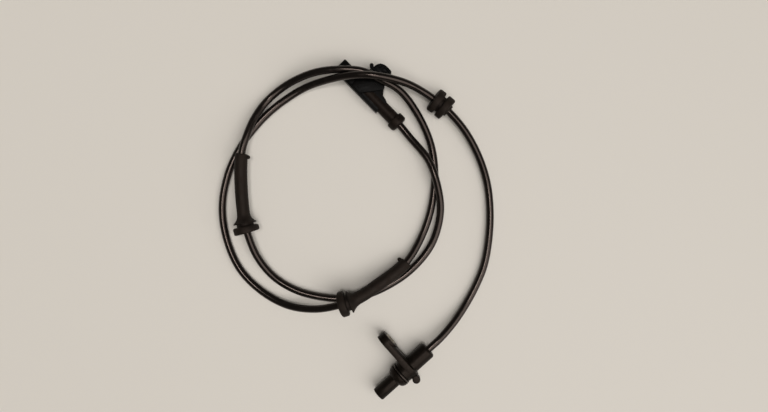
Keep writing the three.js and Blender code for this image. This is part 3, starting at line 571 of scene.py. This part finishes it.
def slab(outline, half, rounding=0, segments=3, angle=30):
    """A plate with an outline of (x, y) points, half thick each side of z = 0, its edges rounded."""
    points = [(x * MM, y * MM, -half * MM) for x, y in outline]
    obj = mesh_object("slab", points, [], [list(range(len(outline)))])
    bpy.ops.object.mode_set(mode="EDIT")
    bpy.ops.mesh.select_all(action="SELECT")
    bpy.ops.mesh.extrude_region_move(TRANSFORM_OT_translate={"value": (0, 0, 2 * half * MM)})
    bpy.ops.mesh.select_all(action="SELECT")
    bpy.ops.mesh.normals_make_consistent(inside=False)
    bpy.ops.object.mode_set(mode="OBJECT")
    if rounding:
        round_edges(obj, rounding, segments, angle)
    return obj


# Soft thermoplastic: brown-black and half matt, a fine leather-like mould grain with a few smooth scuffs.
boot_plastic, tree = new_material("moulded thermoplastic elastomer")
place = add(tree, "ShaderNodeTexCoord").outputs["Object"]
scuff = add(tree, "ShaderNodeTexNoise", {
    "Vector": place, "Scale": 260, "Detail": 6, "Roughness": 0.65}).outputs["Fac"]
scuffed = add(tree, "ShaderNodeMapRange", {
    "Value": scuff, "From Min": 0.45, "From Max": 0.72}).outputs["Result"]
tint = add(tree, "ShaderNodeMix", {0: scuffed, 6: linear("#110d0b"), 7: linear("#1d1713")}, data_type="RGBA")
rough = add(tree, "ShaderNodeMapRange", {"Value": scuffed, "To Min": 0.45, "To Max": 0.62}).outputs["Result"]
grain = add(tree, "ShaderNodeTexVoronoi", {
    "Vector": place, "Scale": 2800}, feature="SMOOTH_F1").outputs["Distance"]
grain_bump = add(tree, "ShaderNodeBump", {"Height": grain, "Strength": 0.25, "Distance": 0.00006})
shader = add(tree, "ShaderNodeBsdfPrincipled", {
    "Base Color": tint.outputs[2], "Roughness": rough, "IOR": 1.5, "Specular IOR Level": 0.13,
    "Specular Tint": linear("#ffeadc"), "Normal": grain_bump.outputs["Normal"]})
add(tree, "ShaderNodeOutputMaterial", {"Surface": shader.outputs["BSDF"]})

boot = spun("plug_boot", BOOT_OUTLINE, steps=80)
combine(boot, box(*SEAL_POCKET), "DIFFERENCE")
combine(boot, slab(NECK_TRIM, 8), "DIFFERENCE")
# The small hollow in the collar's top, where the mould's core pin stood.
bpy.ops.object.select_all(action="DESELECT")
bpy.ops.mesh.primitive_uv_sphere_add(
    segments=32, ring_count=16, radius=1, location=[v * MM for v in PIN_MARK_AT],
    scale=[v * MM for v in PIN_MARK_SIZE], rotation=(math.radians(PIN_MARK_TILT), 0, 0))
bpy.ops.object.transform_apply(location=True, rotation=True, scale=True)
combine(boot, bpy.context.object, "DIFFERENCE")
boot.data.transform(PLUG_PLACE)
smooth(boot)
paint(boot, boot_plastic)
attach(boot, "root")
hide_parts("connector_backshell")


# Plug housing: glass-filled polyester, moulded in one with a wide block, the square nose round the mouth,
# a straight guide plate along one side and the latch: a sprung arm with a thumb pad and a round hook.
BLOCK = [(25.4, -8.6), (28, -12.6), (42, -12.6), (44, -10), (44, 5.1), (35.6, 5.1)]
BLOCK_HALF = 5.4
SHOULDER = [(17.8, -4.4), (19.5, -5.2), (23.1, -5.9), (25.4, -8.6), (29, -8.6), (38, 5.1), (18.2, 5.1)]
SHOULDER_HALF = 3.8
NOSE_TO = 60
NOSE = (42, NOSE_TO), (-4.7, 5.0), (-4.8, 4.8)
GUIDE_PLATE = (18.2, NOSE_TO), (4.7, 6.1), (-4, 4)
MOUTH = (40, NOSE_TO + 1), (-3.7, 4.7), (-3.7, 3.7)
INNER_BLOCK = (39, 52.5), (-2.4, 3.4), (-2.0, 2.0)
CHANNEL_SPAN, CHANNEL_HALF = (24, 53.5), 1
CONTACT_SIDES = (-0.9, 1.9)
LOCK_WINDOW = (38.1, 40.4), (2.0, 3.6), 4.7, 6
LATCH_SLOT = (30.6, 33.6), (-7.9, -7.1), 4.8, 6
LATCH_HALF = 4.2
ARM = [(28.5, -12), (31.5, -12), (32.5, -13.4), (43.9, -13.4), (43.9, -15.4), (30, -15.4)]
THUMB_PAD = [(30, -14.6), (30.1, -19.2), (30.4, -21.1), (31.0, -21.9), (31.9, -22.2), (35.6, -22.2),
             (37.3, -22.0), (38.9, -21.4), (40.3, -20.5), (41.3, -19.1), (41.9, -17.3), (42.0, -14.6)]
PAD_POCKETS = [((31.6, 36.6), (-20.6, -17.2), 3.1, 5), ((38.0, 40.4), (-20.6, -17.2), 3.1, 5)]
HOOK_AT, HOOK_RADIUS = (43.9, -15.1), 1.4


def box_pair(x, y, near, far):
    """A block above the middle plane, between the heights near and far, and its mirror image below."""
    return box(x, y, (near, far)), box(x, y, (-far, -near))


# Glass-filled polyester: harder and darker than the boot, satin with a faint mould grain.
plug_plastic, tree = new_material("moulded glass-filled polyester")
place = add(tree, "ShaderNodeTexCoord").outputs["Object"]
cloud = add(tree, "ShaderNodeTexNoise", {
    "Vector": place, "Scale": 300, "Detail": 6, "Roughness": 0.6}).outputs["Fac"]
clouded = add(tree, "ShaderNodeMapRange", {
    "Value": cloud, "From Min": 0.42, "From Max": 0.72}).outputs["Result"]
tint = add(tree, "ShaderNodeMix", {0: clouded, 6: linear("#050505"), 7: linear("#0d0c0b")}, data_type="RGBA")
rough = add(tree, "ShaderNodeMapRange", {"Value": clouded, "To Min": 0.34, "To Max": 0.48}).outputs["Result"]
grain = add(tree, "ShaderNodeTexNoise", {"Vector": place, "Scale": 3200, "Detail": 2}).outputs["Fac"]
grain_bump = add(tree, "ShaderNodeBump", {"Height": grain, "Strength": 0.22, "Distance": 0.00005})
shader = add(tree, "ShaderNodeBsdfPrincipled", {
    "Base Color": tint.outputs[2], "Roughness": rough, "IOR": 1.56, "Specular IOR Level": 0.04,
    "Normal": grain_bump.outputs["Normal"]})
add(tree, "ShaderNodeOutputMaterial", {"Surface": shader.outputs["BSDF"]})

housing = slab(BLOCK, BLOCK_HALF, 0.45)
nose = box(*NOSE)
round_edges(nose, 0.6, 4)
combine(housing, nose, "UNION")
combine(housing, slab(SHOULDER, SHOULDER_HALF, 0.5), "UNION")
guide_plate = box(*GUIDE_PLATE)
round_edges(guide_plate, 0.3, 2)
combine(housing, guide_plate, "UNION")
mouth = box(*MOUTH)
round_edges(mouth, 0.5, 3)
combine(housing, mouth, "DIFFERENCE")
inner_block = box(*INNER_BLOCK)
round_edges(inner_block, 0.25, 2)
combine(housing, inner_block, "UNION")
neck_socket = disc(17, BOOT_END + 0.2, 0, BOOT_NECK + 0.01, 80)
combine(neck_socket, slab(NECK_TRIM, 8), "DIFFERENCE")
combine(housing, neck_socket, "DIFFERENCE")
combine(housing, box(*SEAL_POCKET), "DIFFERENCE")
for y in CONTACT_SIDES:
    channel = box(CHANNEL_SPAN, (y - CHANNEL_HALF, y + CHANNEL_HALF), (-CHANNEL_HALF, CHANNEL_HALF))
    combine(housing, channel, "DIFFERENCE")

# The window that shows that the lock is home and a slot near the latch's root, on both faces.
for opening in (*box_pair(*LOCK_WINDOW), *box_pair(*LATCH_SLOT)):
    combine(housing, opening, "DIFFERENCE")

combine(housing, slab(ARM, LATCH_HALF, 0.3, segments=2), "UNION")
thumb_pad = slab(THUMB_PAD, LATCH_HALF, 0.7, segments=4, angle=50)
for place in PAD_POCKETS:
    for pocket in box_pair(*place):
        round_edges(pocket, 0.5, 3)
        combine(thumb_pad, pocket, "DIFFERENCE")
combine(housing, thumb_pad, "UNION")
hook = post(*HOOK_AT, HOOK_RADIUS, 2 * LATCH_HALF, 40)
round_edges(hook, 0.3, 3)
combine(housing, hook, "UNION")
housing.name = "plug_housing"
housing.data.transform(PLUG_PLACE)
smooth(housing)
paint(housing, plug_plastic)
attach(housing, "root")
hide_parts("connector_housing")


# Inside the head: a black epoxy chip and a small plated magnet sit on a dark moulded carrier. Their two
# lead-frame strips of tinned copper alloy are welded to the cable's cores.
def inner_material(name, dark, light, scale, rough, metallic=0.0, depth=0.00004):
    """A finish for a small enclosed piece: two tones in a cloudy noise, its height and its roughness."""
    made, tree = new_material(name)
    place = add(tree, "ShaderNodeTexCoord").outputs["Object"]
    cloud = add(tree, "ShaderNodeTexNoise", {"Vector": place, "Scale": scale, "Detail": 5}).outputs["Fac"]
    tint = add(tree, "ShaderNodeMix", {0: cloud, 6: linear(dark), 7: linear(light)}, data_type="RGBA")
    gloss = add(tree, "ShaderNodeMapRange", {
        "Value": cloud, "To Min": rough[0], "To Max": rough[1]}).outputs["Result"]
    skin = add(tree, "ShaderNodeBump", {"Height": cloud, "Strength": 0.25, "Distance": depth})
    shader = add(tree, "ShaderNodeBsdfPrincipled", {
        "Base Color": tint.outputs[2], "Roughness": gloss, "IOR": 1.5, "Metallic": metallic,
        "Normal": skin.outputs["Normal"]})
    add(tree, "ShaderNodeOutputMaterial", {"Surface": shader.outputs["BSDF"]})
    return made


def finish_nodes(names, material):
    """Gives the CAD nodes of these names their finish."""
    for name in names:
        paint(nodes[name], material)


tinned_copper = inner_material("tin-plated copper alloy", "#a39f94", "#c9c5ba", 1500, (0.25, 0.45), 1.0)
brown_core = inner_material("brown extruded core insulation", "#4a2d1b", "#5e3b24", 500, (0.4, 0.55))
white_core = inner_material("white extruded core insulation", "#c3beb0", "#d4cfc2", 500, (0.4, 0.55))
dark_carrier = inner_material("dark moulded carrier", "#35332f", "#45423d", 400, (0.4, 0.6))
chip_epoxy = inner_material("moulded epoxy", "#0c0c0c", "#1a1a1a", 900, (0.55, 0.75))
plated_magnet = inner_material("nickel-plated magnet", "#77777a", "#939396", 900, (0.3, 0.5), 1.0)
finish_nodes(["ic_carrier"], dark_carrier)
finish_nodes(["sensing_ic"], chip_epoxy)
finish_nodes(["bias_magnet"], plated_magnet)
finish_nodes(["head_terminal_1", "head_terminal_2"], tinned_copper)
finish_nodes(["head_core_1"], brown_core)
finish_nodes(["head_core_2"], white_core)


# Inside the plug: a ribbed silicone seal grips the two cores, a second silicone ring seals the mouth, and a
# green lock in front of the contacts, moulded in polyester, holds them in.
silicone = inner_material("moulded silicone rubber", "#7f4225", "#95532f", 700, (0.5, 0.7), depth=0.00006)
green_lock = inner_material("green moulded polyester", "#28543f", "#34664d", 500, (0.4, 0.55))
finish_nodes(["wire_seal", "front_seal"], silicone)
finish_nodes(["terminal_retainer"], green_lock)
finish_nodes(["contact_1", "contact_2"], tinned_copper)
finish_nodes(["plug_core_1"], brown_core)
finish_nodes(["plug_core_2"], white_core)


# Table and lamps: a plain pale top, a soft key lamp and a low one at the photograph's lower right, and a
# narrow one almost overhead, which draws the thin lines of light on the jacket.
bpy.ops.object.select_all(action="DESELECT")
bpy.ops.mesh.primitive_plane_add(size=60, location=(-0.07, -0.09, -0.00005))
table = bpy.context.object
table.name = "table_top"
table_paint, tree = new_material("pale painted board")
shader = add(tree, "ShaderNodeBsdfPrincipled", {"Base Color": linear("#d9d6cf"), "Roughness": 0.6})
add(tree, "ShaderNodeOutputMaterial", {"Surface": shader.outputs["BSDF"]})
paint(table, table_paint)

# Each lamp's name, azimuth, elevation and angular width, in degrees, and its strength.
LAMPS = [
    ("key_lamp", 95, 62, 54, 1.8),
    ("side_lamp", 110, 28, 38, 0.5),
    ("top_lamp", 300, 87, 11, 0.58),
]
for name, azimuth, elevation, width, strength in LAMPS:
    a, e = math.radians(azimuth), math.radians(elevation)
    toward = Vector((math.cos(a) * math.cos(e), math.sin(a) * math.cos(e), math.sin(e)))
    bpy.ops.object.light_add(type="SUN", location=toward)
    lamp = bpy.context.object
    lamp.name = name
    lamp.rotation_euler = toward.to_track_quat("Z", "Y").to_euler()
    lamp.data.angle = math.radians(width)
    lamp.data.energy = strength
    lamp.data.color = linear("#fffaf6")[:3]

# A dim even sky over the table, paler just above its far edge.
world = bpy.data.worlds.new("studio")
bpy.context.scene.world = world
world.use_nodes = True
tree = world.node_tree
tree.nodes.clear()
direction = add(tree, "ShaderNodeTexCoord").outputs["Generated"]
height = add(tree, "ShaderNodeSeparateXYZ", {"Vector": direction}).outputs["Z"]
glow = add(tree, "ShaderNodeMapRange", {
    "Value": height, "From Min": 0.08, "From Max": 0.2, "To Min": 0.62, "To Max": 0.15}).outputs["Result"]
sky = add(tree, "ShaderNodeBackground", {"Color": linear("#f4ede2"), "Strength": glow})
add(tree, "ShaderNodeOutputWorld", {"Surface": sky.outputs["Background"]})
